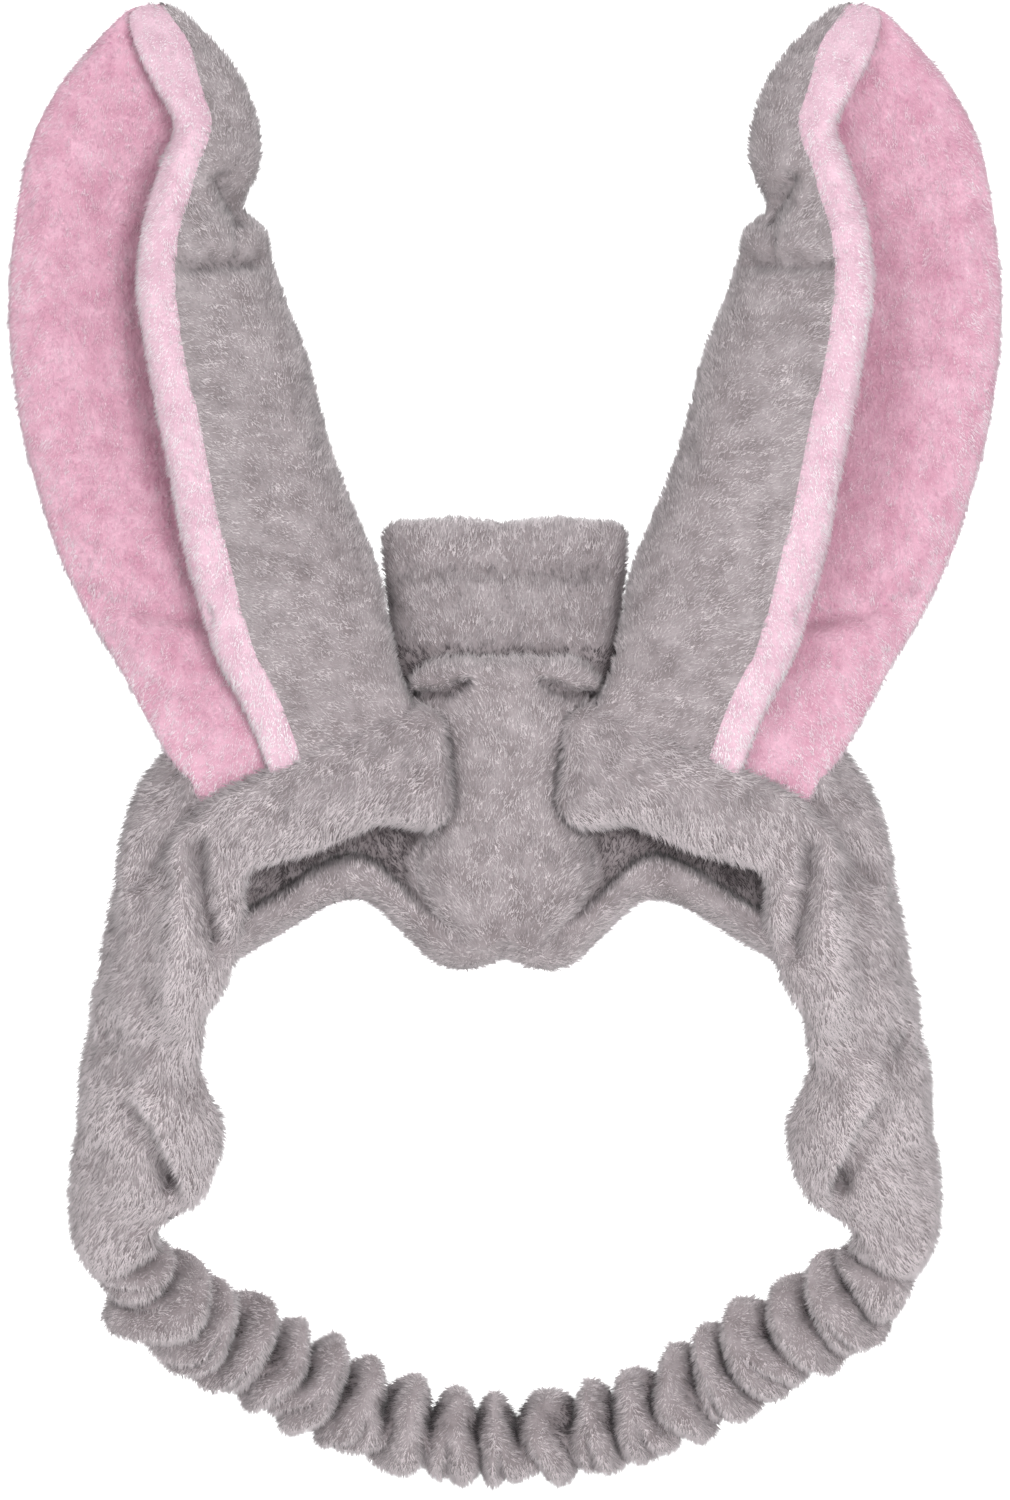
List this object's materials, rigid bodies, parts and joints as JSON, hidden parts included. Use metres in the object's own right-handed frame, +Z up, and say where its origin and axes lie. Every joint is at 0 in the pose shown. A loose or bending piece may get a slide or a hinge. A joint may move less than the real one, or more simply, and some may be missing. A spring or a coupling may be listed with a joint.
{
  "type": "animal ears headband",
  "caption": "Plush costume headband: two tall cupped padded ears on a padded grey band over the head, closed behind the nape by a gathered elastic.",
  "frame": {"origin": "where the wearer's head meets the inside of the band, in the middle between the ears, at mount head_seat", "axes": "+Z up along the ears, -Y to the front, away from the wearer's face, +X to the right as seen from the front"},
  "size_m": [0.2472, 0.118, 0.3665],
  "materials": {
    "plush_grey": "soft short-pile polyester plush, warm grey, matt with a soft sheen",
    "plush_pink": "soft short-pile polyester plush, pale pink, matt with a soft sheen",
    "lining_grey": "the same grey plush, pile pressed flatter, on the side towards the head",
    "padding_white": "white polyester wadding",
    "ear_wire": "bendable steel wire",
    "elastic_tape": "flat woven elastic tape",
    "seam_thread": "grey polyester thread"
  },
  "bodies": {
    "headband": {"ear_left_base_seam": "plush_grey", "side_panel_left_outer": "plush_grey", "side_panel_left_lining": "lining_grey", "side_panel_left_padding": "padding_white", "elastic_anchor_left": "seam_thread", "casing_left": "plush_grey", "elastic_left": "elastic_tape", "ear_right_base_seam": "plush_grey", "side_panel_right_outer": "plush_grey", "side_panel_right_lining": "lining_grey", "side_panel_right_padding": "padding_white", "elastic_anchor_right": "seam_thread", "casing_right": "plush_grey", "elastic_right": "elastic_tape", "crown_panel_outer": "plush_grey", "crown_panel_lining": "lining_grey", "crown_panel_padding": "padding_white", "forehead_panel_outer": "plush_grey", "forehead_panel_lining": "lining_grey", "forehead_panel_padding": "padding_white"},
    "ear_left": {"ear_left_liner": "plush_pink", "ear_left_back": "plush_grey", "ear_left_padding": "padding_white", "ear_left_wire": "ear_wire"},
    "ear_left_tip": {"ear_left_tip_liner": "plush_pink", "ear_left_tip_back": "plush_grey", "ear_left_tip_padding": "padding_white", "ear_left_tip_wire": "ear_wire"},
    "ear_right": {"ear_right_liner": "plush_pink", "ear_right_back": "plush_grey", "ear_right_padding": "padding_white", "ear_right_wire": "ear_wire"},
    "ear_right_tip": {"ear_right_tip_liner": "plush_pink", "ear_right_tip_back": "plush_grey", "ear_right_tip_padding": "padding_white", "ear_right_tip_wire": "ear_wire"},
    "nape_strap": {"casing_nape": "plush_grey", "elastic_nape": "elastic_tape"}
  },
  "joints": [
    {"name": "ear_left_tilt", "type": "hinge", "parent": "headband", "child": "ear_left", "pos_m": [-0.053, -0.009, 0.003], "axis": [0.9069, 0, 0.4214], "range_deg": [-30, 55]},
    {"name": "ear_left_tip_bend", "type": "hinge", "parent": "ear_left", "child": "ear_left_tip", "pos_m": [-0.095, -0.0165, 0.119], "axis": [1, 0, 0], "range_deg": [0, 75]},
    {"name": "ear_right_tilt", "type": "hinge", "parent": "headband", "child": "ear_right", "pos_m": [0.053, -0.009, 0.003], "axis": [0.9069, 0, -0.4214], "range_deg": [-30, 55]},
    {"name": "ear_right_tip_bend", "type": "hinge", "parent": "ear_right", "child": "ear_right_tip", "pos_m": [0.095, -0.0165, 0.119], "axis": [1, 0, 0], "range_deg": [0, 75]},
    {"name": "nape_stretch", "type": "slide", "parent": "headband", "child": "nape_strap", "axis": [0, 0.5269, -0.8499], "range_m": [0, 0.05], "stiffness_N_per_m": 60, "deforming": ["casing_left", "casing_right", "elastic_left", "elastic_right"]}
  ]
}
